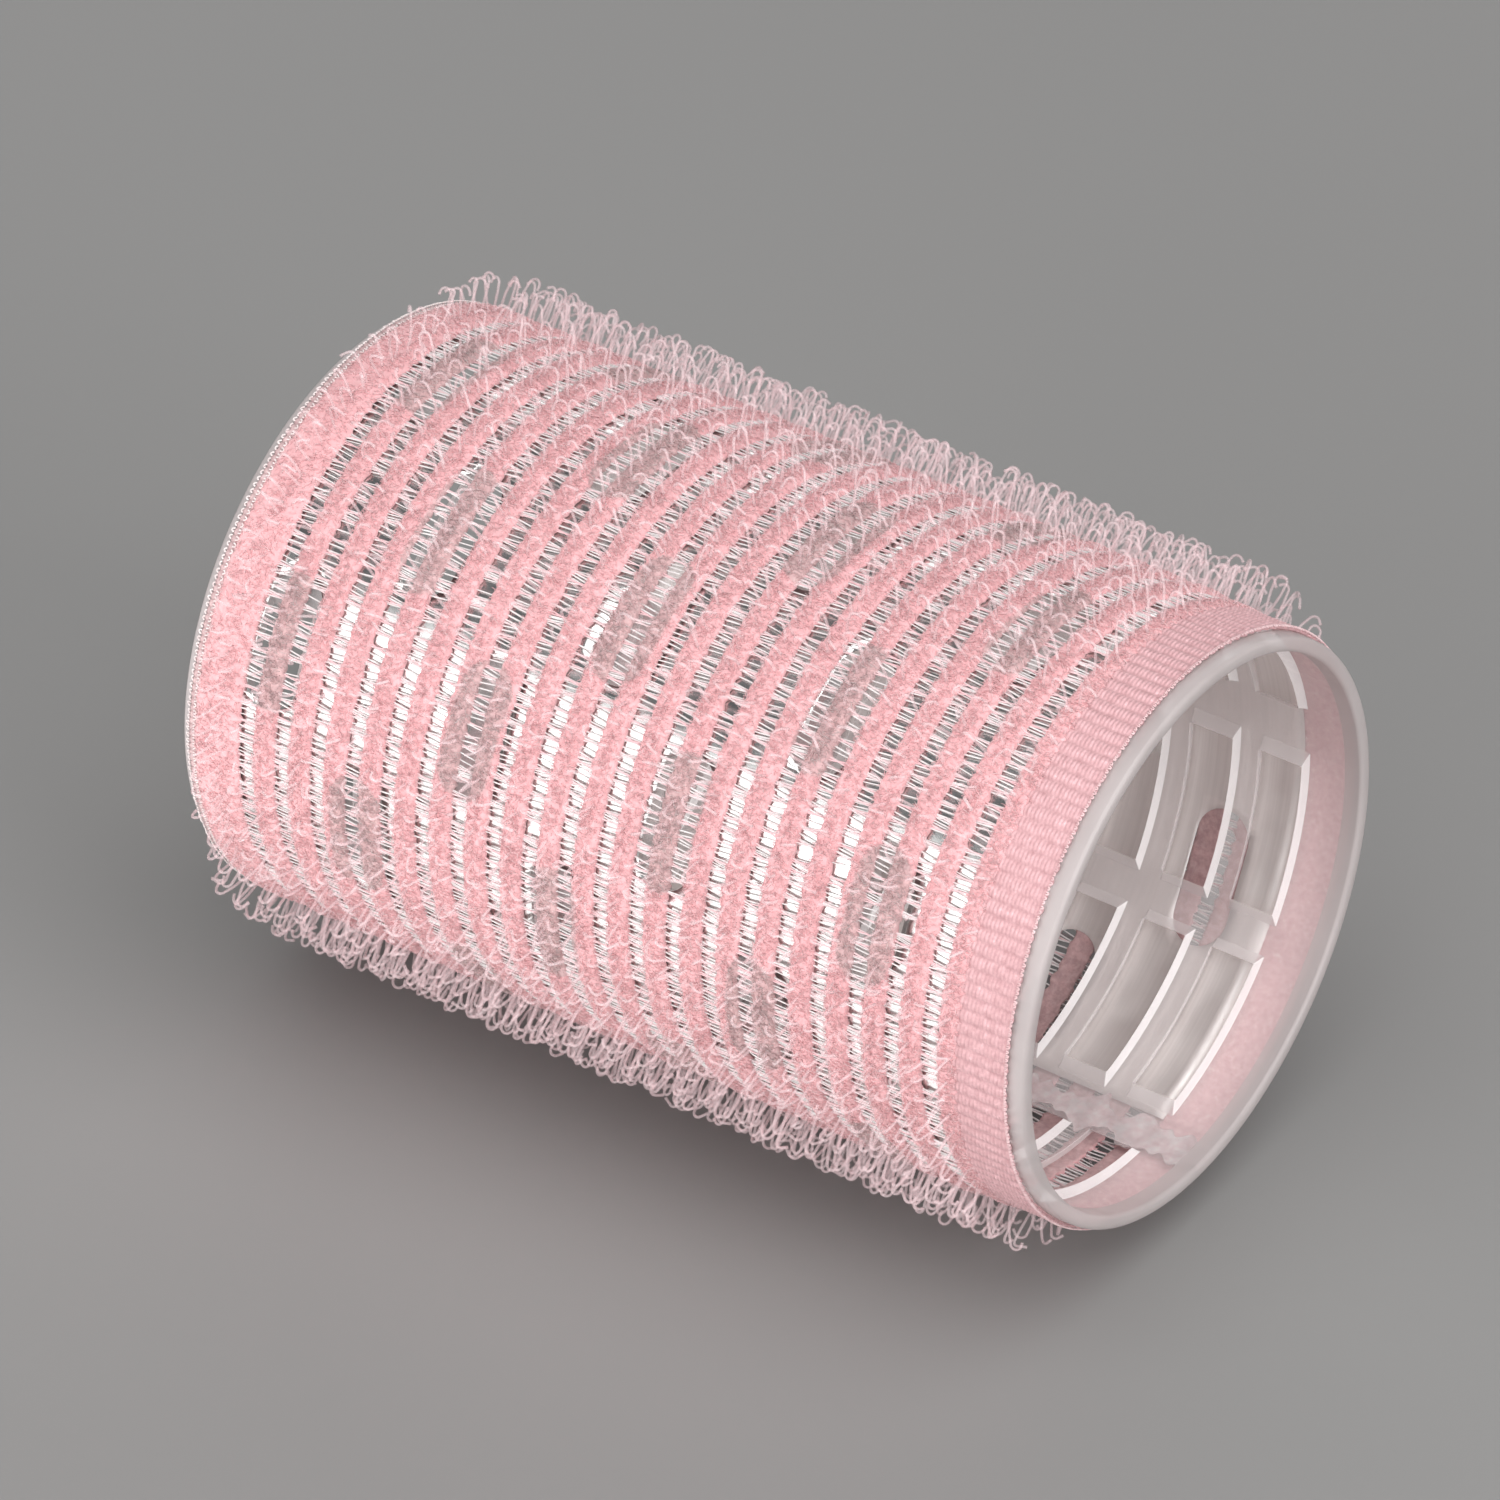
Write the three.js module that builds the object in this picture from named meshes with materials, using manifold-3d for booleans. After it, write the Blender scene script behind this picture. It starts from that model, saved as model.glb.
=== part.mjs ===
// Self-grip hair roller: a moulded lattice barrel, a perforated metal sleeve round it, and a strip of
// hook tape wrapped over both and welded along one line. The roller lies on its side.
//
// Frame, in millimetres: +X runs along the roller's axis, +Z is up, the origin is the middle of the axis.
// Angles go round the axis from +Z (0) through -Y (90) to -Z (180).
import * as THREE from "three";
import { mergeVertices } from "three/addons/utils/BufferGeometryUtils.js";
import Module from "manifold-3d";

// ---- driving dimensions -------------------------------------------------------------------------

const ROLLER_LENGTH = 63;
const BORE_RADIUS = 18.25;
const BARREL_RADIUS = 19.0;
const RIM_RADIUS = 19.3;
const RIM_WIDTH = 0.8;
const RIM_CHAMFER = 0.12;

// Lattice windows: two rows to each quadrant, with a narrow rib between them and a wider panel beside them.
const WINDOWS_PER_ROW = 11;
const WINDOW_PITCH = 5.095;
const WINDOW_WIDTH = 3.1;
const WINDOW_DRAFT = 0.2;
const WINDOW_HALF_ANGLE = 16;
const WINDOW_FLARE_ANGLE = 2.25;
const QUADRANTS = 4;
const WELD_PANEL_ANGLE = 187;
const ROW_ANGLES = [23.75, 66.25];

// Metal sleeve, open along the weld.
const LAYER_GAP = 0.12;
const SLEEVE_THICKNESS = 0.14;
const SLEEVE_NEAR_X = 26.7;
const SLEEVE_FAR_X = -27.6;
const SLEEVE_OPENING_START = 150;
const SLEEVE_OPENING_END = 191.5;

// Sleeve perforations: rounded slots across the axis, in rows staggered by half a pitch. The sheet sits a
// little askew, so the whole pattern is turned by SLOT_SKEW in the developed sheet.
const SLOT_LENGTH = 8.96;
const SLOT_WIDTH = 3.75;
const SLOT_AXIAL_PITCH = 14.93;
const SLOT_ROW_ANGLE = 31.4;
const SLOT_ANCHOR_ANGLE = 64.2;
const SLOT_ANCHOR_X = -10.2;
const SLOT_SKEW = 2.05;
const SLOT_END_MARGIN = 0.6;

// Hook tape: pile stripes with open gaps between them, and a woven edge along each side.
const STRIPE_COUNT = 19;
const STRIPE_PITCH = 2.69;
const STRIPE_WIDTH = 1.54;
const STRIPE_CROWN_WIDTH = 1.1;
const FIRST_STRIPE_X = -25.05;
const TAPE_THICKNESS = 0.2;
const PILE_RADIUS = 19.98;
const FRONT_SELVEDGE = [25.35, 30.15];
const REAR_PILE_BAND = [-29.8, -27.0];
const REAR_SELVEDGE = [-30.8, -29.95];

// Rows of hooks: each row is tied in by one weft thread that crosses the tape.
const HOOK_ROW_COUNT = 20;
const HOOK_THICKNESS = 0.3;
const HOOK_TIP_RADIUS = 22.4;
const HOOK_THREAD_RADII = [20.08, 20.26];
const HOOK_THREAD_OVERRUN = 0.9;
const HOOK_LEG_HALF_WIDTH = 0.17;
const HOOK_BEND_REACH = 0.95;
const HOOK_BEND_DROP = 0.75;

// Weld: the strip of plastic that fused the tape to the barrel, inside the sleeve's opening.
const WELD_START = 181.5;
const WELD_END = 189.5;
const WELD_HALF_LENGTH = 30;

const RING_SEGMENTS = 36;
const STRIPE_SEGMENTS = 24;

// ---- values worked out from them ----------------------------------------------------------------

const HALF_LENGTH = ROLLER_LENGTH / 2;
const SLEEVE_INNER = BARREL_RADIUS + LAYER_GAP;
const SLEEVE_OUTER = SLEEVE_INNER + SLEEVE_THICKNESS;
const TAPE_INNER = SLEEVE_OUTER + LAYER_GAP;

const radians = THREE.MathUtils.degToRad;
const degrees = THREE.MathUtils.radToDeg;

// Corner radius of a regular polygon whose flats touch a circle of the given radius.
function cornerRadius(flatRadius, segments) {
  return flatRadius / Math.cos(Math.PI / segments);
}

// ---- solids -------------------------------------------------------------------------------------

const wasm = await Module();
wasm.setup();

function solidFrom(geometry) {
  const bare = geometry.index ? geometry.toNonIndexed() : geometry.clone();
  bare.deleteAttribute("normal");
  bare.deleteAttribute("uv");
  const merged = mergeVertices(bare, 1e-4);
  return new wasm.Manifold(
    new wasm.Mesh({
      numProp: 3,
      vertProperties: merged.attributes.position.array,
      triVerts: new Uint32Array(merged.index.array),
    }),
  );
}

function geometryFrom(solid) {
  const mesh = solid.getMesh();
  const geometry = new THREE.BufferGeometry();
  geometry.setAttribute("position", new THREE.BufferAttribute(mesh.vertProperties, 3));
  geometry.setIndex(new THREE.BufferAttribute(mesh.triVerts, 1));
  geometry.computeVertexNormals();
  return geometry;
}

// A ring round the X axis. The outline is a list of [radius, x] corners that goes round the section with
// x rising along the outside.
function ring(outline, segments) {
  const profile = outline.map(([radius, x]) => new THREE.Vector2(radius, x));
  profile.push(profile[0].clone());
  const geometry = new THREE.LatheGeometry(profile, segments);
  geometry.rotateZ(-Math.PI / 2);
  return geometry;
}

// A plain band: a ring of four corners, whose outer edge may be narrower than its inner one.
function band(innerRadius, outerRadius, fromX, toX, segments, shoulder = 0) {
  const outline = [
    [innerRadius, fromX],
    [outerRadius, fromX + shoulder],
    [outerRadius, toX - shoulder],
    [innerRadius, toX],
  ];
  return ring(outline, segments);
}

// A block bent round the X axis, centred on the angle 0. Both its half width along X and its half angle
// are functions of the radius.
function bentBlock(innerRadius, outerRadius, halfWidthAt, halfAngleAt) {
  const geometry = new THREE.BoxGeometry(2, 2, 2);
  const position = geometry.attributes.position;
  for (let i = 0; i < position.count; i += 1) {
    const radius = position.getZ(i) > 0 ? outerRadius : innerRadius;
    const angle = radians(halfAngleAt(radius)) * position.getY(i);
    position.setXYZ(
      i,
      position.getX(i) * halfWidthAt(radius),
      radius * Math.sin(angle),
      radius * Math.cos(angle),
    );
  }
  return geometry;
}

// ---- barrel -------------------------------------------------------------------------------------

function barrelBlank() {
  const step = HALF_LENGTH - RIM_WIDTH;
  const outline = [
    [BORE_RADIUS, -HALF_LENGTH],
    [RIM_RADIUS - RIM_CHAMFER, -HALF_LENGTH],
    [RIM_RADIUS, -HALF_LENGTH + RIM_CHAMFER],
    [RIM_RADIUS, -step - RIM_CHAMFER],
    [BARREL_RADIUS, -step],
    [BARREL_RADIUS, step],
    [RIM_RADIUS, step + RIM_CHAMFER],
    [RIM_RADIUS, HALF_LENGTH - RIM_CHAMFER],
    [RIM_RADIUS - RIM_CHAMFER, HALF_LENGTH],
    [BORE_RADIUS, HALF_LENGTH],
  ];
  return solidFrom(ring(outline, RING_SEGMENTS));
}

// The cutter for one window. The window opens out by its draft and flare from the bore to the outside.
function windowCutter() {
  const wall = BARREL_RADIUS - BORE_RADIUS;
  const halfWidthAt = (radius) =>
    WINDOW_WIDTH / 2 + (WINDOW_DRAFT * (radius - BORE_RADIUS)) / wall;
  const halfAngleAt = (radius) =>
    WINDOW_HALF_ANGLE + (WINDOW_FLARE_ANGLE * (radius - BORE_RADIUS)) / wall;
  return bentBlock(BORE_RADIUS - 0.8, BARREL_RADIUS + 2.2, halfWidthAt, halfAngleAt);
}

function barrelGeometry() {
  let barrel = barrelBlank();
  for (let quadrant = 0; quadrant < QUADRANTS; quadrant += 1) {
    for (const rowAngle of ROW_ANGLES) {
      const angle = WELD_PANEL_ANGLE + (360 / QUADRANTS) * quadrant + rowAngle;
      for (let i = 0; i < WINDOWS_PER_ROW; i += 1) {
        const cutter = windowCutter();
        cutter.translate((i - (WINDOWS_PER_ROW - 1) / 2) * WINDOW_PITCH, 0, 0);
        cutter.rotateX(radians(angle));
        barrel = barrel.subtract(solidFrom(cutter));
      }
    }
  }
  return geometryFrom(barrel);
}

// ---- sleeve -------------------------------------------------------------------------------------

function slotCutter() {
  const endRadius = SLOT_WIDTH / 2;
  const endCentre = SLOT_LENGTH / 2 - endRadius;
  const outline = new THREE.Shape();
  outline.absarc(0, endCentre, endRadius, 0, Math.PI, false);
  outline.absarc(0, -endCentre, endRadius, Math.PI, 2 * Math.PI, false);
  const depth = 4;
  const cutter = new THREE.ExtrudeGeometry(outline, { depth, curveSegments: 3, bevelEnabled: false });
  cutter.translate(0, 0, SLEEVE_INNER - depth / 2);
  return cutter;
}

// The slot centres as [x, angle]: a staggered pattern, turned by the skew in the developed sheet.
function slotCentres() {
  const skew = radians(SLOT_SKEW);
  const rowPitch = radians(SLOT_ROW_ANGLE) * SLEEVE_INNER;
  const centres = [];
  for (let row = -9; row <= 3; row += 1) {
    const stagger = row % 2 === 0 ? 0 : SLOT_AXIAL_PITCH / 2;
    for (let column = -4; column <= 4; column += 1) {
      const along = column * SLOT_AXIAL_PITCH + stagger;
      const across = row * rowPitch;
      const x = SLOT_ANCHOR_X + along * Math.cos(skew) - across * Math.sin(skew);
      const arc = along * Math.sin(skew) + across * Math.cos(skew);
      centres.push([x, SLOT_ANCHOR_ANGLE + degrees(arc / SLEEVE_INNER)]);
    }
  }
  return centres.filter(([x, angle]) => slotIsWhole(x, angle));
}

// Only slots that lie wholly inside the sheet are kept.
function slotIsWhole(x, angle) {
  const halfAngle = degrees(SLOT_LENGTH / 2 / SLEEVE_INNER) + SLOT_END_MARGIN;
  const halfWidth = SLOT_WIDTH / 2 + SLOT_END_MARGIN;
  const insideLength = x - halfWidth > SLEEVE_FAR_X && x + halfWidth < SLEEVE_NEAR_X;
  const firstAngle = SLEEVE_OPENING_END - 360;
  return insideLength && angle - halfAngle > firstAngle && angle + halfAngle < SLEEVE_OPENING_START;
}

function sleeveGeometry() {
  const outline = [
    [SLEEVE_INNER, SLEEVE_FAR_X],
    [SLEEVE_OUTER, SLEEVE_FAR_X],
    [SLEEVE_OUTER, SLEEVE_NEAR_X],
    [SLEEVE_INNER, SLEEVE_NEAR_X],
  ];
  let sleeve = solidFrom(ring(outline, RING_SEGMENTS));
  sleeve = sleeve.subtract(sector(SLEEVE_OPENING_START, SLEEVE_OPENING_END, HALF_LENGTH));
  for (const [x, angle] of slotCentres()) {
    const cutter = slotCutter();
    cutter.rotateZ(radians(-SLOT_SKEW));
    cutter.translate(x, 0, 0);
    cutter.rotateX(radians(angle));
    sleeve = sleeve.subtract(solidFrom(cutter));
  }
  return geometryFrom(sleeve);
}

// A wedge of the space round the barrel, between two angles.
function sector(fromAngle, toAngle, halfLength) {
  const halfAngle = (toAngle - fromAngle) / 2;
  const wedge = bentBlock(
    BORE_RADIUS - 4,
    PILE_RADIUS + 6,
    () => halfLength,
    () => halfAngle,
  );
  wedge.rotateX(radians((fromAngle + toAngle) / 2));
  return solidFrom(wedge);
}

function weldGeometry() {
  const blank = band(SLEEVE_INNER, SLEEVE_OUTER, -WELD_HALF_LENGTH, WELD_HALF_LENGTH, RING_SEGMENTS);
  return geometryFrom(solidFrom(blank).intersect(sector(WELD_START, WELD_END, HALF_LENGTH)));
}

// ---- hook tape ----------------------------------------------------------------------------------

function wovenBand([fromX, toX]) {
  const inner = cornerRadius(TAPE_INNER, RING_SEGMENTS);
  return band(inner, inner + TAPE_THICKNESS, fromX, toX, RING_SEGMENTS);
}

function pileBand([fromX, toX]) {
  const shoulder = (STRIPE_WIDTH - STRIPE_CROWN_WIDTH) / 2;
  const inner = cornerRadius(TAPE_INNER, STRIPE_SEGMENTS);
  return band(inner, PILE_RADIUS, fromX, toX, STRIPE_SEGMENTS, shoulder);
}

function stripeCentre(index) {
  return FIRST_STRIPE_X + index * STRIPE_PITCH;
}

// One hook's corners, from its +X foot over the top to its -X foot. The tip points along lean.
function hookCorners(x, lean) {
  const foot = HOOK_THREAD_RADII[1];
  const corners = [
    [x + lean * HOOK_LEG_HALF_WIDTH, foot],
    [x + lean * HOOK_LEG_HALF_WIDTH, HOOK_TIP_RADIUS - HOOK_BEND_DROP / 2],
    [x + lean * HOOK_BEND_REACH, HOOK_TIP_RADIUS - HOOK_BEND_DROP],
    [x, HOOK_TIP_RADIUS],
    [x - lean * HOOK_LEG_HALF_WIDTH, foot],
  ];
  return lean > 0 ? corners : corners.reverse();
}

// One row of hooks, standing at the angle 0: a weft thread with a hook on every second stripe. The hooks
// lean to one side and the other in turn.
function hookRowGeometry(row) {
  const [threadBottom, threadTop] = HOOK_THREAD_RADII;
  const fromX = stripeCentre(0) - HOOK_THREAD_OVERRUN;
  const toX = stripeCentre(STRIPE_COUNT - 1) + HOOK_THREAD_OVERRUN;
  const outline = [
    [fromX, threadBottom],
    [toX, threadBottom],
    [toX, threadTop],
  ];
  for (let stripe = STRIPE_COUNT - 1; stripe >= 0; stripe -= 1) {
    if ((stripe + row) % 2 === 0) {
      const lean = Math.floor(stripe / 2) % 2 === 0 ? 1 : -1;
      outline.push(...hookCorners(stripeCentre(stripe), lean));
    }
  }
  outline.push([fromX, threadTop]);
  const shape = new THREE.Shape(outline.map(([x, radius]) => new THREE.Vector2(x, radius)));
  const geometry = new THREE.ExtrudeGeometry(shape, { depth: HOOK_THICKNESS, bevelEnabled: false });
  geometry.translate(0, 0, -HOOK_THICKNESS / 2);
  geometry.rotateX(Math.PI / 2);
  return geometry;
}

// ---- materials ----------------------------------------------------------------------------------

const FINISHES = {
  clearPlastic: { color: 0xdcd6d4, roughness: 0.32, metalness: 0 },
  meltedPlastic: { color: 0xd8b9ba, roughness: 0.45, metalness: 0 },
  brightMetal: { color: 0xc9c8c5, roughness: 0.22, metalness: 0.95 },
  pinkPile: { color: 0xf0bcc0, roughness: 0.95, metalness: 0 },
  pinkWeave: { color: 0xe4b3b6, roughness: 0.85, metalness: 0 },
  edgeWeave: { color: 0xcbb2ae, roughness: 0.8, metalness: 0 },
  hookThread: { color: 0xead8da, roughness: 0.25, metalness: 0 },
};

function part(name, geometry, finish) {
  const mesh = new THREE.Mesh(geometry, new THREE.MeshStandardMaterial(FINISHES[finish]));
  mesh.name = name;
  return mesh;
}

function numbered(stem, index) {
  return `${stem}_${String(index + 1).padStart(2, "0")}`;
}

// ---- assembly -----------------------------------------------------------------------------------

const roller = new THREE.Group();
roller.add(part("core_barrel", barrelGeometry(), "clearPlastic"));
roller.add(part("liner_sleeve", sleeveGeometry(), "brightMetal"));
roller.add(part("weld_seam", weldGeometry(), "meltedPlastic"));

const tape = new THREE.Group();
tape.add(part("selvedge_front", wovenBand(FRONT_SELVEDGE), "pinkWeave"));
tape.add(part("selvedge_rear", wovenBand(REAR_SELVEDGE), "edgeWeave"));
tape.add(part("pile_band_rear", pileBand(REAR_PILE_BAND), "pinkPile"));
for (let i = 0; i < STRIPE_COUNT; i += 1) {
  const halfWidth = STRIPE_WIDTH / 2;
  const stripe = pileBand([stripeCentre(i) - halfWidth, stripeCentre(i) + halfWidth]);
  tape.add(part(numbered("pile_stripe", i), stripe, "pinkPile"));
}
for (let i = 0; i < HOOK_ROW_COUNT; i += 1) {
  const hookRow = part(numbered("hook_row", i), hookRowGeometry(i), "hookThread");
  hookRow.rotation.x = ((i + 0.5) * 2 * Math.PI) / HOOK_ROW_COUNT;
  tape.add(hookRow);
}
roller.add(tape);

export default roller;
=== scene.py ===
"""Looks of the self-grip hair roller: a translucent lattice barrel, a slotted metal sleeve and hook tape.

Everything is in metres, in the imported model's frame: +X along the roller's axis, +Z up, the origin in the
middle. Angles go round the axis from +Z through -Y. Sizes are written in millimetres and multiplied by MM.
"""

import math

import bpy
import numpy as np
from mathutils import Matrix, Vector
from mathutils.geometry import delaunay_2d_cdt


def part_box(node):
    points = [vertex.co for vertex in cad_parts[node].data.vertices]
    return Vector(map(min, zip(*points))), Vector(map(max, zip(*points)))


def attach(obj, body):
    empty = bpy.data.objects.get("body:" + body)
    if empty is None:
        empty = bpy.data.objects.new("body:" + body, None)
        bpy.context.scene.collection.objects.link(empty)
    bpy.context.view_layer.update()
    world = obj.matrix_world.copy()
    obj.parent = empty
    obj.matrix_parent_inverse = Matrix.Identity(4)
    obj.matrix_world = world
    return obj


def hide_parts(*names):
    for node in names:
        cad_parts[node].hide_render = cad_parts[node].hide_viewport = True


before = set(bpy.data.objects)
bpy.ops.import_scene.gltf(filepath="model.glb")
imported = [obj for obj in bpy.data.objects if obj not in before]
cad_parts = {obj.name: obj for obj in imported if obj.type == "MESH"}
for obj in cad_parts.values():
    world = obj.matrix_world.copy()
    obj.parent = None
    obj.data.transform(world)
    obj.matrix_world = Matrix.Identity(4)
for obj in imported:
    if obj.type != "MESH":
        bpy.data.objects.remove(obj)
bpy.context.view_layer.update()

MM = 0.001
TURN = 2 * math.pi

# ---- sizes taken from the frame ----

STRIPES = [f"pile_stripe_{i:02d}" for i in range(1, 20)]
HOOK_ROWS = sorted(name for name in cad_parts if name.startswith("hook_row_"))


def span(node):
    """A node's lowest and highest place along the roller's axis."""
    low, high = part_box(node)
    return low.x, high.x


def reach(*nodes):
    """How far these nodes stand out from the roller's axis."""
    return max(max(-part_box(n)[0].y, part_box(n)[1].y, -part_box(n)[0].z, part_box(n)[1].z) for n in nodes)


HALF_LENGTH = span("core_barrel")[1]
RIM_RADIUS = reach("core_barrel")
SLEEVE_RADIUS = reach("liner_sleeve")
SLEEVE_SPAN = span("liner_sleeve")
STRIPE_SPANS = [span(name) for name in STRIPES]
PILE_RADIUS = reach(*STRIPES)
# The fine hooks may stand this far past the plain rows of the frame.
HOOK_PROUD = 0.25 * MM
HOOK_TIP_RADIUS = reach(*HOOK_ROWS) + HOOK_PROUD
FLOOR_HEIGHT = -(HOOK_TIP_RADIUS + 0.05 * MM)

# ---- sizes of what the frame leaves plain ----

BORE_RADIUS = 18.25 * MM
BARREL_RADIUS = 19.0 * MM
RIM_WIDTH = 1.25 * MM
REAR_RIM_WIDTH = 0.55 * MM
RIM_TAPER = 0.5 * MM
# How a rim's end is rounded: (distance from the end, how far the wall is drawn in on each side).
RIM_NOSE = [(0.0, 0.3 * MM), (0.06 * MM, 0.14 * MM), (0.18 * MM, 0.03 * MM)]
EDGE_ROUND = 0.1 * MM

WINDOWS_PER_ROW = 11
WINDOW_PITCH = 5.095 * MM
WINDOW_WIDTH = 3.1 * MM
WINDOW_DRAFT = 0.2 * MM
WINDOW_HALF_ANGLE = math.radians(16)
WINDOW_FLARE = math.radians(2.25)
PANEL_ANGLE = math.radians(187)
ROW_ANGLES = (math.radians(23.75), math.radians(66.25))

SLEEVE_OPENING = (math.radians(150), math.radians(191.5))
SLEEVE_THICKNESS = 0.03 * MM
SLOT_LENGTH = 8.96 * MM
SLOT_WIDTH = 3.75 * MM
SLOT_PITCH = 14.93 * MM
SLOT_ROW_ANGLE = math.radians(31.4)
SLOT_ANCHOR = (-10.2 * MM, math.radians(64.2))
SLOT_SKEW = math.radians(2.05)
SLOT_MARGIN = 0.6 * MM
SLOT_END_MARGIN = math.radians(0.6)
SLOT_FADE = (-0.06 * MM, 0.12 * MM)
SLOT_END_POINTS = 15
SHEET_SPACING = 1.0 * MM
SHEET_EDGE_GAP = 0.25 * MM

WELD_ARC = (math.radians(182.5), math.radians(189.0))
LAP_ARC = (math.radians(164), math.radians(192))
LAP_LIFT = 0.22 * MM

TAPE_RADIUS = 19.38 * MM
TAPE_GIRTH = TURN * TAPE_RADIUS
FRONT_PILE = (span("selvedge_front")[0], span("selvedge_front")[0] + 1.35 * MM)
FRONT_EDGE = (span("selvedge_front")[0], span("selvedge_front")[1] + 0.14 * MM)
REAR_EDGE = (span("selvedge_rear")[0] - 0.06 * MM, span("selvedge_rear")[1])

# Pile strips: mesh steps, the crown as a share of the frame's pile height, and the bulges of their edges
# where yarns cross a gap.
STRIPE_STEPS = 840
STRIPE_PROFILE = 15
PROFILE_STEP = 0.13 * MM
UNDER_COLUMNS = 6
CROWN_SHARE = 0.6
FRONT_CROWN_SHARE = 0.35
CROWN_POWER = 3.2
PRESSED_SHARE = 0.8
PILE_SPREAD = 0.04 * MM
REAR_PILE_REACH = 0.55 * MM
EDGE_WAVE = 0.05 * MM
CROSSING_PITCH = 0.92 * MM
CROSSING_BULGE = 0.13 * MM
CROSSING_WIDTH = 0.13 * MM

# Loose pile fibres: how many for each square millimetre, and ranges in millimetres. The wide rear band has
# fewer, so that its mesh stays small enough to export whole.
FUZZ_DENSITY = 36.0
REAR_FUZZ_DENSITY = 23.0
FIBRE_LENGTH = (0.2, 0.62)
FIBRE_RADIUS = (0.013, 0.024)
FIBRE_ARCH = (0.02, 0.16)
FIBRE_LIFT = (0.0, 0.05)
FIBRE_STEPS = np.linspace(-0.5, 0.5, 3)

# Weft threads, with ranges in millimetres.
WEFT_PITCH = (0.2, 0.3)
WEFT_RADIUS = (0.04, 0.062)
WEFT_SLANT = (0.02, 0.13)
WEFT_LIFT = (0.03, 0.1)
WEFT_SAG = (0.0, 0.06)
WEFT_TUCK = 0.3 * MM
WEFT_MISSING = 0.12
CROSSING_CLEAR = 0.12 * MM
CROSSING_SPREAD = (0.05, 0.16)
CROSSING_LIFT = 0.06 * MM

# Hooks: ranges in millimetres and degrees, and tilt and sway as a mean and a spread in degrees.
HOOK_SPACING = 0.74 * MM
HOOK_RADIUS = 0.1 * MM
HOOK_ROOT = 0.2 * MM
HOOK_LEG = (2.0, 2.7)
HOOK_BEND_RADIUS = (0.22, 0.4)
HOOK_BEND = (105, 175)
HOOK_TAIL = (0.05, 0.6)
HOOK_TILT = (-9, 8)
HOOK_SWAY = (20, 7)
HOOK_OFFSET = 0.15 * MM
HOOK_TIP_SWELL = 1.25
LEG_STEPS = np.array([0.0, 0.35, 0.7, 1.0])
BEND_STEPS = np.array([0.17, 0.34, 0.5, 0.67, 0.84, 1.0])
TAIL_STEPS = np.array([0.5, 1.0])
HOOK_STEPS = len(LEG_STEPS) + len(BEND_STEPS) + len(TAIL_STEPS)

# Loops at the tape's edges. Their half width is a share of the pitch.
BIGHT_RADIUS = 0.055 * MM
BIGHT_HEIGHT = 0.26 * MM
BIGHT_HALF_WIDTH = 0.27

rng = np.random.default_rng(20)


# ---- geometry helpers ----


def around(x, angle, radius):
    """Points at the place x along the axis, at an angle round it and a radius from it."""
    x, angle, radius = np.broadcast_arrays(x, angle, radius)
    return np.stack([x, -radius * np.sin(angle), radius * np.cos(angle)], -1)


def direction(azimuth, elevation):
    """The way from the roller to a light or camera, in degrees. Azimuth 0 is -Y and 90 is +X."""
    azimuth, elevation = math.radians(azimuth), math.radians(elevation)
    level = math.cos(elevation)
    return Vector((math.sin(azimuth) * level, -math.cos(azimuth) * level, math.sin(elevation)))


def smooth_step(value, low, high):
    """0 up to low, 1 from high on, with a smooth rise between."""
    t = np.clip((value - low) / (high - low), 0, 1)
    return t * t * (3 - 2 * t)


def add_mesh(name, points, faces, material, smooth=True, attributes=None):
    """A mesh object from an (n, 3) array of points and a list of (m, k) arrays of faces."""
    points = np.asarray(points, float).reshape(-1, 3)
    faces = [np.asarray(f, np.int64) for f in faces if len(f)]
    sizes = np.concatenate([np.full(len(f), f.shape[1]) for f in faces])
    starts = np.concatenate([[0], np.cumsum(sizes)[:-1]])
    corners = np.concatenate([f.ravel() for f in faces])
    mesh = bpy.data.meshes.new(name)
    mesh.vertices.add(len(points))
    mesh.vertices.foreach_set("co", points.ravel())
    mesh.loops.add(len(corners))
    mesh.loops.foreach_set("vertex_index", corners.astype(np.int32))
    mesh.polygons.add(len(sizes))
    mesh.polygons.foreach_set("loop_start", starts.astype(np.int32))
    mesh.polygons.foreach_set("use_smooth", np.broadcast_to(smooth, len(sizes)).copy())
    mesh.update(calc_edges=True)
    for key, values in (attributes or {}).items():
        layer = mesh.attributes.new(key, "FLOAT", "POINT")
        layer.data.foreach_set("value", np.asarray(values, np.float32).ravel())
    mesh.materials.append(material)
    piece = bpy.data.objects.new(name, mesh)
    bpy.context.scene.collection.objects.link(piece)
    return piece


def finish_piece(piece, slot, *nodes):
    """The piece rides on the one body and stands for the CAD nodes, which are hidden. slot is not used."""
    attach(piece, "root")
    if nodes:
        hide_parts(*nodes)
    return piece


def unit(vectors):
    """These directions at length 1."""
    return vectors / np.maximum(np.linalg.norm(vectors, axis=-1, keepdims=True), 1e-12)


def tubes(paths, radii, sides, side_axis):
    """Closed tubes along (n, m, 3) paths. radii broadcasts to (n, m); side_axis is (n, 3)."""
    count, steps, _ = paths.shape
    tangent = unit(np.gradient(paths, axis=1))
    side = np.broadcast_to(np.asarray(side_axis)[:, None, :], paths.shape)
    side = unit(side - tangent * (side * tangent).sum(-1, keepdims=True))
    other = np.cross(tangent, side)
    phase = np.arange(sides) * TURN / sides
    radii = np.broadcast_to(radii, (count, steps))[..., None, None]
    turned = side[:, :, None] * np.cos(phase)[:, None] + other[:, :, None] * np.sin(phase)[:, None]
    points = paths[:, :, None] + radii * turned
    index = np.arange(count * steps * sides).reshape(count, steps, sides)
    near, far = index[:, :-1], index[:, 1:]
    quads = np.stack([near, np.roll(near, -1, 2), np.roll(far, -1, 2), far], -1).reshape(-1, 4)
    caps = np.concatenate([index[:, 0, ::-1], index[:, -1]])
    return points.reshape(-1, 3), [quads, caps]


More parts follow.
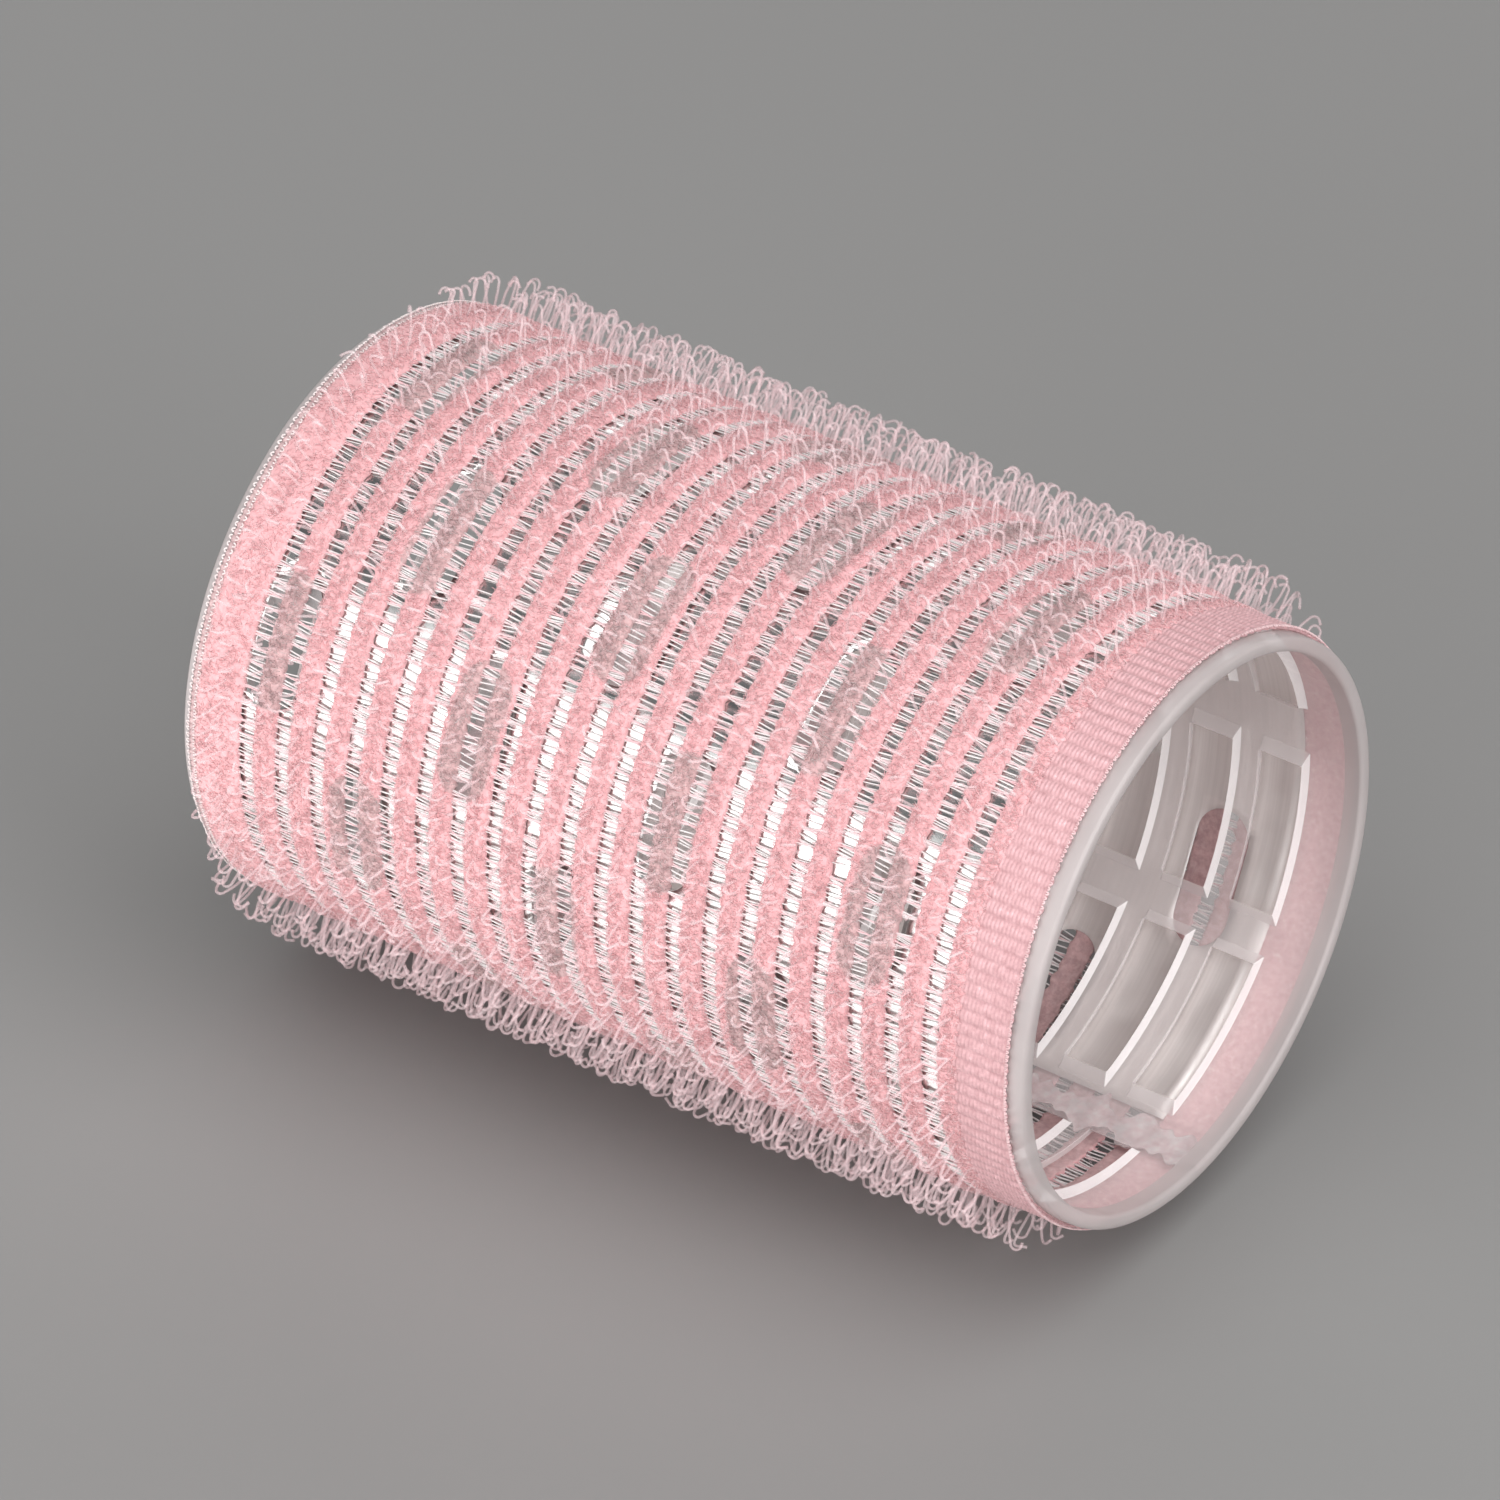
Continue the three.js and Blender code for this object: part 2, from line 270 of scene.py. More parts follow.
def joined(parts):
    """One set of points and faces from several."""
    points, faces, offset = [], [], 0
    for part_points, part_faces in parts:
        points.append(part_points)
        faces += [f + offset for f in part_faces]
        offset += len(part_points)
    return np.concatenate(points), faces


def wrapped_grid(rows, columns, close_rows=True, close_columns=True):
    """Quads of a grid of points, rows by columns, that may close on itself either way."""
    index = np.arange(rows * columns).reshape(rows, columns)
    if close_rows:
        index = np.concatenate([index, index[:1]])
    if close_columns:
        index = np.concatenate([index, index[:, :1]], 1)
    a, b, c, d = index[:-1, :-1], index[1:, :-1], index[1:, 1:], index[:-1, 1:]
    return np.stack([a, b, c, d], -1).reshape(-1, 4)


def ripple(arc, x, wavelength, waves=18):
    """A smooth random field of about unit height, as a sum of waves of one length and any direction."""
    total = np.zeros(np.broadcast(arc, x).shape)
    heading = rng.uniform(0, TURN, waves)
    phase = rng.uniform(0, TURN, waves)
    stretch = rng.uniform(0.75, 1.4, waves)
    for i in range(waves):
        k = TURN / (wavelength * stretch[i])
        along = np.round(k * math.cos(heading[i]) * TAPE_RADIUS) / TAPE_RADIUS
        total += np.cos(along * arc + k * math.sin(heading[i]) * x + phase[i])
    return total / math.sqrt(waves / 2)


# ---- materials ----


class Nodes:
    """A small helper that builds a material's node tree."""

    def __init__(self, name):
        self.material = bpy.data.materials.new(name)
        self.material.use_nodes = True
        self.tree = self.material.node_tree
        self.tree.nodes.clear()
        self.output = self.add("ShaderNodeOutputMaterial")
        self.shader = self.add("ShaderNodeBsdfPrincipled")
        self.link(self.shader, "BSDF", self.output, "Surface")

    def add(self, kind, **settings):
        """A node with these settings. A name that isn't the node's own property is one of its inputs."""
        node = self.tree.nodes.new(kind)
        for key, value in settings.items():
            if hasattr(node, key):
                setattr(node, key, value)
            else:
                node.inputs[key.replace("_", " ")].default_value = value
        return node

    def link(self, source, output, target, socket):
        self.tree.links.new(source.outputs[output], target.inputs[socket])

    def set(self, **values):
        """Plain numbers on the shader's inputs."""
        for key, value in values.items():
            self.shader.inputs[key.replace("_", " ")].default_value = value

    def noise(self, scale, detail=3.0, roughness=0.55):
        noise = self.add("ShaderNodeTexNoise", Scale=scale, Detail=detail, Roughness=roughness)
        self.link(self.place(), "Object", noise, "Vector")
        return noise

    def place(self):
        if not hasattr(self, "_place"):
            self._place = self.add("ShaderNodeTexCoord")
        return self._place

    def ramp(self, source, output, stops):
        ramp = self.add("ShaderNodeValToRGB")
        elements = ramp.color_ramp.elements
        while len(elements) < len(stops):
            elements.new(0.5)
        for element, (position, colour) in zip(elements, stops):
            element.position = position
            element.color = (*colour, 1.0) if len(colour) == 3 else colour
        self.link(source, output, ramp, "Fac")
        return ramp

    def bump(self, source, output, strength, distance):
        bump = self.add("ShaderNodeBump", Strength=strength, Distance=distance)
        self.link(source, output, bump, "Height")
        self.link(bump, "Normal", self.shader, "Normal")

    def mix(self, kind, factor, first, second):
        """A colour mix of two (node, output) pairs; factor is a number or such a pair."""
        mix = self.add("ShaderNodeMix", data_type="RGBA", blend_type=kind)
        if isinstance(factor, tuple):
            self.link(*factor, mix, 0)
        else:
            mix.inputs[0].default_value = factor
        for value, socket in ((first, 6), (second, 7)):
            if isinstance(value[0], bpy.types.Node):
                self.tree.links.new(value[0].outputs[value[1]], mix.inputs[socket])
            else:
                mix.inputs[socket].default_value = (*value, 1.0)
        return mix


def plastic_material(name, tint, opacity, roughness, painted_glow=0.0):
    """Natural polypropylene: translucent, with faint flow marks and a softly uneven surface. Any emission
    is painted light.
    """
    m = Nodes(name)
    clouds = m.noise(120.0, 2.0)
    ramp = m.ramp(clouds, "Fac", [(0.35, tint), (0.7, tuple(min(1.0, c * 1.04) for c in tint))])
    m.link(ramp, "Color", m.shader, "Base Color")
    gloss = m.noise(900.0, 2.0)
    gloss_ramp = m.ramp(gloss, "Fac", [(0.3, (roughness * 0.8,) * 3), (0.75, (roughness * 1.3,) * 3)])
    m.link(gloss_ramp, "Color", m.shader, "Roughness")
    cloud_alpha = m.ramp(clouds, "Fac", [(0.3, (opacity * 0.92,) * 3), (0.7, (opacity * 1.08,) * 3)])
    m.link(cloud_alpha, "Color", m.shader, "Alpha")
    # Emission paints light onto the surface: the window walls are glowing, though they are no lamp.
    m.set(IOR=1.49, Emission_Strength=painted_glow)
    m.shader.inputs["Emission Color"].default_value = (1.0, 0.97, 0.96, 1.0)
    m.bump(m.noise(350.0, 1.0), "Fac", 0.05, 0.05 * MM)
    return m.material


def melt_material():
    """Remelted plastic with pink yarn caught in it: cloudy, mottled and lumpy."""
    m = Nodes("remelted_polypropylene")
    mottle = m.noise(1100.0, 3.0, 0.7)
    stops = [(0.32, (0.66, 0.44, 0.46)), (0.5, (0.80, 0.63, 0.64)), (0.62, (0.86, 0.80, 0.80))]
    m.link(m.ramp(mottle, "Fac", stops), "Color", m.shader, "Base Color")
    cloud = m.ramp(m.noise(700.0, 2.0), "Fac", [(0.35, (0.45,) * 3), (0.65, (0.9,) * 3)])
    m.link(cloud, "Color", m.shader, "Alpha")
    m.set(IOR=1.49, Roughness=0.35)
    m.bump(mottle, "Fac", 0.4, 0.1 * MM)
    return m.material


def foil_material(name, dark, light, roughness, metallic):
    """Bright rolled metal sheet with fine rolling lines and soft dents."""
    m = Nodes(name)
    lines = m.add("ShaderNodeMapping")
    lines.inputs["Scale"].default_value = (60.0, 1.0, 1.0)
    m.link(m.place(), "Object", lines, "Vector")
    rolled = m.add("ShaderNodeTexNoise", Scale=90.0, Detail=3.0)
    m.link(lines, "Vector", rolled, "Vector")
    ramp = m.ramp(rolled, "Fac", [(0.3, dark), (0.7, light)])
    m.link(ramp, "Color", m.shader, "Base Color")
    gloss = m.ramp(m.noise(400.0), "Fac", [(0.3, (roughness * 0.75,) * 3), (0.75, (roughness * 1.3,) * 3)])
    m.link(gloss, "Color", m.shader, "Roughness")
    m.set(Metallic=metallic)
    m.bump(m.noise(260.0, 2.0), "Fac", 0.12, 0.05 * MM)
    return m.material


def pile_material():
    """Fuzzy pink pile. Over the sleeve's slots, where nothing bright lies behind it, its colour is painted
    duller and greyer as painted shade.
    """
    m = Nodes("pink_pile_yarn")
    backing = m.add("ShaderNodeAttribute", attribute_name="backing")
    fleck = m.noise(2600.0, 3.0, 0.7)
    flecks = [(0.30, (0.81, 0.425, 0.44)), (0.52, (0.85, 0.48, 0.50)), (0.75, (0.87, 0.555, 0.57))]
    warm = m.ramp(fleck, "Fac", flecks)
    fibre = m.add("ShaderNodeAttribute", attribute_name="fibre")
    # The top of this ramp paints pale glints, painted highlights, on the palest loose fibres; lower down
    # the fibres' tones vary at random.
    fibres = [(0.0, (0.80, 0.44, 0.46)), (0.8, (0.86, 0.565, 0.58)), (1.0, (0.95, 0.73, 0.74))]
    loose = m.ramp(fibre, "Fac", fibres)
    is_fibre = m.add("ShaderNodeMath", operation="GREATER_THAN")
    is_fibre.inputs[1].default_value = 0.001
    m.link(fibre, "Fac", is_fibre, 0)
    warm = m.mix("MIX", (is_fibre, "Value"), (warm, "Color"), (loose, "Color"))
    patch = m.noise(220.0, 2.0)
    tone = m.ramp(patch, "Fac", [(0.3, (0.93, 0.91, 0.91)), (0.7, (1.0, 1.0, 1.0))])
    toned = m.mix("MULTIPLY", 1.0, (warm, 2), (tone, "Color"))
    # Painted shade: over the slots, where backing is 0, the colour is multiplied by these grey tones, with
    # a mottled noise in them.
    slot_shade_greys = [(0.36, (0.64, 0.76, 0.74)), (0.62, (0.82, 0.95, 0.92))]
    mottle = m.ramp(m.noise(1300.0, 3.0, 0.7), "Fac", slot_shade_greys)
    painted_slot_shade = m.mix("MULTIPLY", 1.0, (toned, 2), (mottle, "Color"))
    both = m.mix("MIX", (backing, "Fac"), (painted_slot_shade, 2), (toned, 2))
    m.link(both, 2, m.shader, "Base Color")
    m.set(Roughness=0.92, Sheen_Weight=0.25, Sheen_Roughness=0.5)
    m.bump(m.noise(5200.0, 3.0), "Fac", 0.3, 0.05 * MM)
    return m.material


def yarn_material(name, dark, light, scale=2600.0, roughness=0.8):
    """Woven yarn: fine strands, an uneven dye with painted glints at its brightest, a soft sheen, and
    painted shade that darkens the grooves where "rib" is low.
    """
    m = Nodes(name)
    strands = m.noise(scale, 3.0, 0.65)
    # Painted highlight: the brightest strands take this paler glint colour.
    glint = tuple(min(0.97, c * 1.2 + 0.05) for c in light)
    ramp = m.ramp(strands, "Fac", [(0.3, dark), (0.64, light), (0.74, glint)])
    rib = m.add("ShaderNodeAttribute", attribute_name="rib")
    # Painted shade in the grooves: the colour is darkened where rib is low.
    shades = [(0.1, (0.80, 0.77, 0.77)), (0.5, (0.94, 0.93, 0.93)), (0.9, (1.0, 1.0, 1.0))]
    painted_groove_shade = m.ramp(rib, "Fac", shades)
    groove_shaded = m.mix("MULTIPLY", 1.0, (ramp, "Color"), (painted_groove_shade, "Color"))
    m.link(groove_shaded, 2, m.shader, "Base Color")
    m.set(Roughness=roughness, Sheen_Weight=0.2, Sheen_Roughness=0.4)
    m.bump(m.noise(scale * 2.5, 2.0), "Fac", 0.5, 0.04 * MM)
    return m.material


def filament_material(name, dark, light, opacity, roughness, dyed=None):
    """Clear drawn monofilament with slight changes of clarity along it; some of it may be dyed."""
    m = Nodes(name)
    ramp = m.ramp(m.noise(700.0, 2.0), "Fac", [(0.3, dark), (0.7, light)])
    if dyed:
        pink = m.add("ShaderNodeAttribute", attribute_name="pink")
        tinted = m.mix("MIX", (pink, "Fac"), (ramp, "Color"), dyed)
        m.link(tinted, 2, m.shader, "Base Color")
    else:
        m.link(ramp, "Color", m.shader, "Base Color")
    uneven = [(0.3, (roughness * 0.7,) * 3), (0.7, (roughness * 1.4,) * 3)]
    gloss = m.ramp(m.noise(1500.0, 2.0), "Fac", uneven)
    m.link(gloss, "Color", m.shader, "Roughness")
    m.set(IOR=1.5, Alpha=opacity)
    return m.material


# The plastics' tints are pink: a painted reflection of the pink tape in the milky plastic.
CLEAR_PLASTIC = plastic_material("natural_polypropylene", (0.94, 0.88, 0.88), 0.2, 0.3)
# The walls on each window's front-end side take this brighter, more opaque, glowing copy of the plastic:
# painted light, as if lit from the open end.
PAINTED_LIT_WALL_PLASTIC = plastic_material("natural_polypropylene_painted_lit_walls", (0.95, 0.92, 0.92), 0.88, 0.6, 0.12)
SIDE_PLASTIC = plastic_material("natural_polypropylene_sides", (0.92, 0.87, 0.87), 0.45, 0.5)
# The rims take a copy of the plastic painted about half as bright: painted shade.
RIM_PLASTIC_PAINTED_SHADE = plastic_material("natural_polypropylene_rims_painted_shade", (0.55, 0.495, 0.49), 0.72, 0.36)
MELTED_PLASTIC = melt_material()
FOIL = foil_material("bright_foil_outside", (0.74, 0.74, 0.73), (0.84, 0.84, 0.83), 0.19, 1.0)
FOIL_INSIDE = foil_material("bright_foil_inside", (0.80, 0.755, 0.735), (0.88, 0.835, 0.815), 0.5, 0.6)
PILE = pile_material()
WEAVE = yarn_material("pink_ribbed_weave", (0.57, 0.32, 0.335), (0.73, 0.445, 0.465))
# The weave's underside is a brighter copy of the weave: painted light, for light that shines through the
# thin fabric from outside.
WEAVE_UNDER_PAINTED_BACKLIGHT = yarn_material("pink_weave_underside_painted_backlight", (0.78, 0.45, 0.47), (0.92, 0.60, 0.61))
WEAVE_BIGHT = yarn_material("pink_weave_bights", (0.66, 0.42, 0.435), (0.80, 0.58, 0.59), 1500.0, 0.6)
EDGE_WEAVE = yarn_material("edge_weave_ground", (0.50, 0.34, 0.35), (0.66, 0.48, 0.48))
EDGE_BIGHT = yarn_material("edge_weave_bights", (0.76, 0.64, 0.63), (0.88, 0.80, 0.79), 1500.0, 0.45)
WEFT = filament_material(
    "weft_filament", (0.93, 0.88, 0.88), (0.98, 0.96, 0.95), 0.8, 0.35, dyed=(0.97, 0.62, 0.65)
)
HOOK = filament_material("hook_monofilament", (0.86, 0.65, 0.67), (0.93, 0.77, 0.785), 0.26, 0.38)


# ---- barrel ----


def lattice_lines():
    """The wall's grid lines, as (place on the axis, way the draft leans), and the window rows' angles."""
    axial = [(-HALF_LENGTH, 0), (REAR_RIM_WIDTH + RIM_TAPER - HALF_LENGTH, 0)]
    for i in range(WINDOWS_PER_ROW):
        middle = (i - (WINDOWS_PER_ROW - 1) / 2) * WINDOW_PITCH
        axial += [(middle - WINDOW_WIDTH / 2, -1), (middle + WINDOW_WIDTH / 2, 1)]
    axial += [(HALF_LENGTH - RIM_WIDTH - RIM_TAPER, 0), (HALF_LENGTH, 0)]
    angles = []
    for quadrant in range(4):
        for row in ROW_ANGLES:
            middle = PANEL_ANGLE + quadrant * TURN / 4 + row
            angles.append(middle)
    return axial, angles


def barrel_piece():
    """The lattice tube: a grid on its inside and outside, open at the windows and closed by their walls."""
    axial, window_angles = lattice_lines()
    window_steps, rib_steps, panel_steps = 14, 4, 7
    inner_angles, outer_angles, column_open = [], [], []
    for i, middle in enumerate(window_angles):
        start_in, end_in = middle - WINDOW_HALF_ANGLE, middle + WINDOW_HALF_ANGLE
        start_out, end_out = start_in - WINDOW_FLARE, end_in + WINDOW_FLARE
        following = window_angles[i + 1] if i + 1 < len(window_angles) else window_angles[0] + TURN
        next_in, next_out = following - WINDOW_HALF_ANGLE, following - WINDOW_HALF_ANGLE - WINDOW_FLARE
        gap_steps = rib_steps if i % 2 == 0 else panel_steps
        t = np.arange(window_steps) / window_steps
        inner_angles += list(start_in + (end_in - start_in) * t)
        outer_angles += list(start_out + (end_out - start_out) * t)
        column_open += [True] * window_steps
        t = np.arange(gap_steps) / gap_steps
        inner_angles += list(end_in + (next_in - end_in) * t)
        outer_angles += list(end_out + (next_out - end_out) * t)
        column_open += [False] * gap_steps
    inner_angles, outer_angles = np.array(inner_angles), np.array(outer_angles)
    column_open = np.array(column_open)
    # The rims stand a little higher than the wall, and their ends are rounded in and out.
    ends = [(-HALF_LENGTH + d, RIM_RADIUS - drawn_in, BORE_RADIUS + drawn_in) for d, drawn_in in RIM_NOSE]
    ends.append((axial[1][0] - RIM_TAPER, RIM_RADIUS, BORE_RADIUS))
    starts = [(axial[-2][0] + RIM_TAPER, RIM_RADIUS, BORE_RADIUS)]
    for d, drawn_in in reversed(RIM_NOSE):
        starts.append((HALF_LENGTH - d, RIM_RADIUS - drawn_in, BORE_RADIUS + drawn_in))
    x_first, outer_first, inner_first = zip(*ends)
    x_last, outer_last, inner_last = zip(*starts)
    middle = axial[1:-1]
    x_inner = np.array([*x_first, *(x for x, _ in middle), *x_last])
    x_outer = np.array([*x_first, *(x + lean * WINDOW_DRAFT for x, lean in middle), *x_last])
    outer_radius = np.array([*outer_first, *[BARREL_RADIUS] * len(middle), *outer_last])
    inner_radius = np.array([*inner_first, *[BORE_RADIUS] * len(middle), *inner_last])
    rows, columns = len(x_inner), len(inner_angles)
    inner = around(x_inner[:, None], inner_angles[None], inner_radius[:, None])
    outer = around(x_outer[:, None], outer_angles[None], outer_radius[:, None])
    points = np.concatenate([inner.reshape(-1, 3), outer.reshape(-1, 3)])
    index = np.arange(rows * columns).reshape(rows, columns)
    wrap = np.concatenate([index, index[:, :1]], 1)
    shift = rows * columns
    row_open = np.zeros(rows - 1, bool)
    first_window = len(ends) + 1
    row_open[first_window : first_window + 2 * WINDOWS_PER_ROW : 2] = True
    open_cell = row_open[:, None] & column_open[None]
    a, b, c, d = wrap[:-1, :-1], wrap[1:, :-1], wrap[1:, 1:], wrap[:-1, 1:]
    solid = ~open_cell
    inside = np.stack([a, b, c, d], -1)[solid]
    outside = (np.stack([d, c, b, a], -1) + shift)[solid]
    faces = [inside, outside]
    padded = np.pad(open_cell, 1, mode="wrap")
    padded[0], padded[-1] = True, True
    face_row = np.nonzero(solid)[0]
    rim_rows = (face_row < len(ends) - 1) | (face_row >= rows - len(starts))
    # The wall finish is the brighter, glowing copy of the plastic, painted light; the rim finish is a
    # darker copy, painted shade.
    clear, wall, rim, side = range(4)
    # The rim rows take the darker rim copy of the plastic, with painted shade.
    finishes = [np.where(rim_rows, rim, clear)] * 2
    for r in range(rows):
        above, below = padded[r, 1:-1], padded[r + 1, 1:-1]
        left, right = wrap[r, :-1], wrap[r, 1:]
        wall_up = above & ~below
        wall_down = below & ~above
        faces.append(np.stack([left, right, right + shift, left + shift], -1)[wall_up])
        faces.append(np.stack([right, left, left + shift, right + shift], -1)[wall_down])
        # Walls on each window's front-end side take the glowing wall finish, painted light; the end faces
        # take the rim finish, painted shade.
        finishes += [rim, rim] if r in (0, rows - 1) else [wall, side]
    for column in range(columns):
        before, after = padded[1:-1, column], padded[1:-1, column + 1]
        low, high = wrap[:-1, column], wrap[1:, column]
        faces.append(np.stack([high, low, low + shift, high + shift], -1)[before & ~after])
        faces.append(np.stack([low, high, high + shift, low + shift], -1)[after & ~before])
        finishes += [side, side]
    piece = add_mesh("barrel_lattice", points, faces, CLEAR_PLASTIC)
    for material in (PAINTED_LIT_WALL_PLASTIC, RIM_PLASTIC_PAINTED_SHADE, SIDE_PLASTIC):
        piece.data.materials.append(material)
    index = np.concatenate([np.broadcast_to(finish, len(f)) for f, finish in zip(faces, finishes)])
    piece.data.polygons.foreach_set("material_index", index.astype(np.int32))
    bevel = piece.modifiers.new("moulded_edges", "BEVEL")
    bevel.width = EDGE_ROUND
    bevel.segments = 2
    bevel.limit_method = "ANGLE"
    bevel.angle_limit = math.radians(35)
    bevel.harden_normals = True
    return finish_piece(piece, "clear_polypropylene", "core_barrel")


# ---- sleeve ----


def slot_centres():
    """The sleeve's slots as (x, angle): a staggered pattern, turned by the skew, kept where it is whole."""
    row_pitch = SLOT_ROW_ANGLE * SLEEVE_RADIUS
    kept = []
    for row in range(-9, 4):
        for column in range(-4, 5):
            along = (column + (0.5 if row % 2 else 0.0)) * SLOT_PITCH
            across = row * row_pitch
            x = SLOT_ANCHOR[0] + along * math.cos(SLOT_SKEW) - across * math.sin(SLOT_SKEW)
            arc = along * math.sin(SLOT_SKEW) + across * math.cos(SLOT_SKEW)
            angle = SLOT_ANCHOR[1] + arc / SLEEVE_RADIUS
            half_angle = SLOT_LENGTH / 2 / SLEEVE_RADIUS + SLOT_END_MARGIN
            half_width = SLOT_WIDTH / 2 + SLOT_MARGIN
            whole = SLEEVE_SPAN[0] + half_width < x < SLEEVE_SPAN[1] - half_width
            first = SLEEVE_OPENING[1] - TURN
            if whole and first + half_angle < angle < SLEEVE_OPENING[0] - half_angle:
                kept.append((x, angle))
    return kept


SLOTS = slot_centres()


def slot_depth(x, angle):
    """How deep a point lies inside the nearest slot of the sleeve: positive inside, in metres."""
    best = np.full(np.broadcast(x, angle).shape, -1.0)
    half_straight = SLOT_LENGTH / 2 - SLOT_WIDTH / 2
    for slot_x, slot_angle in SLOTS:
        arc = (np.mod(angle - slot_angle + math.pi, TURN) - math.pi) * SLEEVE_RADIUS
        dx = x - slot_x
        along = arc * math.cos(SLOT_SKEW) - dx * math.sin(SLOT_SKEW)
        across = arc * math.sin(SLOT_SKEW) + dx * math.cos(SLOT_SKEW)
        past = np.maximum(np.abs(along) - half_straight, 0)
        best = np.maximum(best, SLOT_WIDTH / 2 - np.hypot(past, across))
    return best


def sleeve_piece():
    """The metal sheet: triangulated flat with its slots, then rolled round the barrel with soft ripples."""
    first, last = SLEEVE_OPENING[1] - TURN, SLEEVE_OPENING[0]
    low, high = SLEEVE_SPAN
    xs = np.linspace(low, high, int((high - low) / SHEET_SPACING) + 1)
    turns = np.linspace(first, last, int((last - first) * SLEEVE_RADIUS / SHEET_SPACING) + 1)
    arcs = turns * SLEEVE_RADIUS
    grid = np.stack(np.meshgrid(xs, arcs, indexing="ij"), -1).reshape(-1, 2)
    depth = slot_depth(grid[:, 0], grid[:, 1] / SLEEVE_RADIUS)
    grid = grid[depth < -SHEET_EDGE_GAP]
    points = [tuple(p) for p in grid]
    edges = []
    half_turns = [np.linspace(0, math.pi, SLOT_END_POINTS), np.linspace(math.pi, TURN, SLOT_END_POINTS)]
    ends = np.concatenate(half_turns)
    sx = SLOT_WIDTH / 2 * np.cos(ends)
    offset = np.repeat([1, -1], SLOT_END_POINTS) * (SLOT_LENGTH - SLOT_WIDTH) / 2
    sy = SLOT_WIDTH / 2 * np.sin(ends) + offset
    for slot_x, slot_angle in SLOTS:
        x = slot_x + sx * math.cos(SLOT_SKEW) - sy * math.sin(SLOT_SKEW)
        y = slot_angle * SLEEVE_RADIUS + sx * math.sin(SLOT_SKEW) + sy * math.cos(SLOT_SKEW)
        base = len(points)
        points += list(zip(x.tolist(), y.tolist()))
        edges += [(base + i, base + (i + 1) % len(sx)) for i in range(len(sx))]
    # Triangulated in millimetres, so that the numbers are near 1 in size.
    scale = 1 / MM
    flat = [Vector((x * scale, y * scale)) for x, y in points]
    verts, _, tris, _, _, _ = delaunay_2d_cdt(flat, edges, [], 0, 1e-5)
    verts = np.array([(v.x, v.y) for v in verts]) * MM
    tris = np.array(tris)
    centre = verts[tris].mean(1)
    keep = slot_depth(centre[:, 0], centre[:, 1] / SLEEVE_RADIUS) < 0
    tris = tris[keep]
    used, tris = np.unique(tris, return_inverse=True)
    tris = tris.reshape(-1, 3)
    verts = verts[used]
    dents = ripple(verts[:, 1], verts[:, 0], 9 * MM) * 0.012 * MM
    dents += ripple(verts[:, 1], verts[:, 0], 3.5 * MM) * 0.005 * MM
    angle, radius = verts[:, 1] / SLEEVE_RADIUS, SLEEVE_RADIUS - SLEEVE_THICKNESS + dents
    faces_out = around(verts[:, 0], angle, radius + SLEEVE_THICKNESS)
    sheet = np.concatenate([around(verts[:, 0], angle, radius), faces_out])
    sides = np.concatenate([tris[:, [0, 1]], tris[:, [1, 2]], tris[:, [2, 0]]])
    keys = np.sort(sides, 1)
    _, first_seen, times = np.unique(keys, axis=0, return_index=True, return_counts=True)
    rim = sides[first_seen[times == 1]]
    over = len(verts)
    cut_faces = np.stack([rim[:, 0], rim[:, 1], rim[:, 1] + over, rim[:, 0] + over], -1)
    smooth = np.arange(2 * len(tris) + len(rim)) < 2 * len(tris)
    piece = add_mesh("foil_sleeve", sheet, [tris, tris[:, ::-1] + over, cut_faces[:, ::-1]], FOIL, smooth)
    piece.data.materials.append(FOIL_INSIDE)
    inside = np.arange(len(smooth)) < len(tris)
    piece.data.polygons.foreach_set("material_index", inside.astype(np.int32))
    return finish_piece(piece, "bright_foil", "liner_sleeve")


# ---- hook tape ----


def lap_lift(angle):
    """The tape is two layers thick over its lap, which ends in a step."""
    a = np.mod(angle, TURN)
    rise = smooth_step(a, LAP_ARC[0] - 0.06, LAP_ARC[0] + 0.04)
    fall = 1 - smooth_step(a, LAP_ARC[1] - 0.01, LAP_ARC[1] + 0.01)
    return LAP_LIFT * rise * fall


def weld_press(angle):
    """1 in the middle of the weld line, where the tape is pressed flat, and 0 away from it."""
    a = np.mod(angle, TURN)
    middle, half = sum(WELD_ARC) / 2, (WELD_ARC[1] - WELD_ARC[0]) / 2
    return 1 - smooth_step(np.abs(a - middle), half * 0.55, half * 1.1)


def crown_shape(u):
    """The pile's height across a strip: 1 in the middle, and 0 at the edges, where u is -1 and 1."""
    return np.sqrt(1 - np.abs(u) ** CROWN_POWER)


def backing_at(x, angle):
    """1 where the sleeve's metal lies behind the tape, and 0 over one of its slots, where the pile's colour
    takes painted shade.
    """
    return 1 - smooth_step(slot_depth(x, angle), *SLOT_FADE)


def crossing_places():
    """Where yarns cross one gap between stripes, as distances round the tape."""
    count = int(TAPE_GIRTH / CROSSING_PITCH)
    return (np.arange(count) + rng.uniform(-0.34, 0.34, count)) / count * TAPE_GIRTH


def crossing_bulge(arc, places):
    """How far a stripe's edge reaches into the gap: most where a yarn crosses it."""
    away = np.mod(arc[:, None] - places[None] + TAPE_GIRTH / 2, TAPE_GIRTH) - TAPE_GIRTH / 2
    reach_out = rng.uniform(0.2, 1.4, len(places)) * CROSSING_BULGE
    return (reach_out * np.exp(-((away / CROSSING_WIDTH) ** 2))).sum(1)


